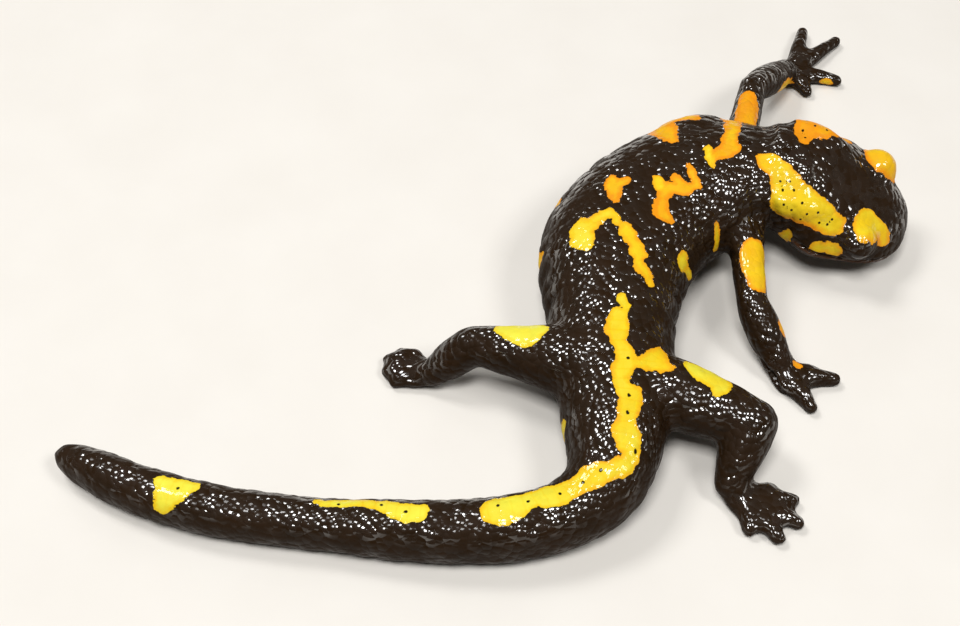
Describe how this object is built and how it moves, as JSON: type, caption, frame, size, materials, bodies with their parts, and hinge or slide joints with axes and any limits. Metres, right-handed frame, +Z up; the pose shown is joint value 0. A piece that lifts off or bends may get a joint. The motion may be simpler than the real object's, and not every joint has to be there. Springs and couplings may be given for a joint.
{
  "type": "fire salamander",
  "caption": "Still, life-size model of a fire salamander in mid-walk, glossy black with irregular yellow patches, lying on its belly, hands, feet and tail.",
  "frame": {"origin": "middle of the bounding box, on the floor plane that the belly, hands, feet and tail rest on", "axes": "+X the way the head points and the longest extent, +Y towards the animal's left forefoot, +Z up"},
  "size_m": [0.1316, 0.114, 0.0195],
  "materials": {
    "skin": "wet gloss, black with yellow patches",
    "eye": "high gloss, nearly black"
  },
  "bodies": {
    "root": {"head": "skin", "lower_jaw": "skin", "neck": "skin", "trunk": "skin", "pelvis": "skin", "tail_base": "skin", "tail_middle": "skin", "tail_tip": "skin", "upper_arm_left": "skin", "forearm_left": "skin", "hand_left": "skin", "thigh_left": "skin", "shin_left": "skin", "foot_left": "skin", "upper_arm_right": "skin", "forearm_right": "skin", "hand_right": "skin", "thigh_right": "skin", "shin_right": "skin", "foot_right": "skin", "eye_left": "eye", "eye_right": "eye"}
  },
  "joints": []
}
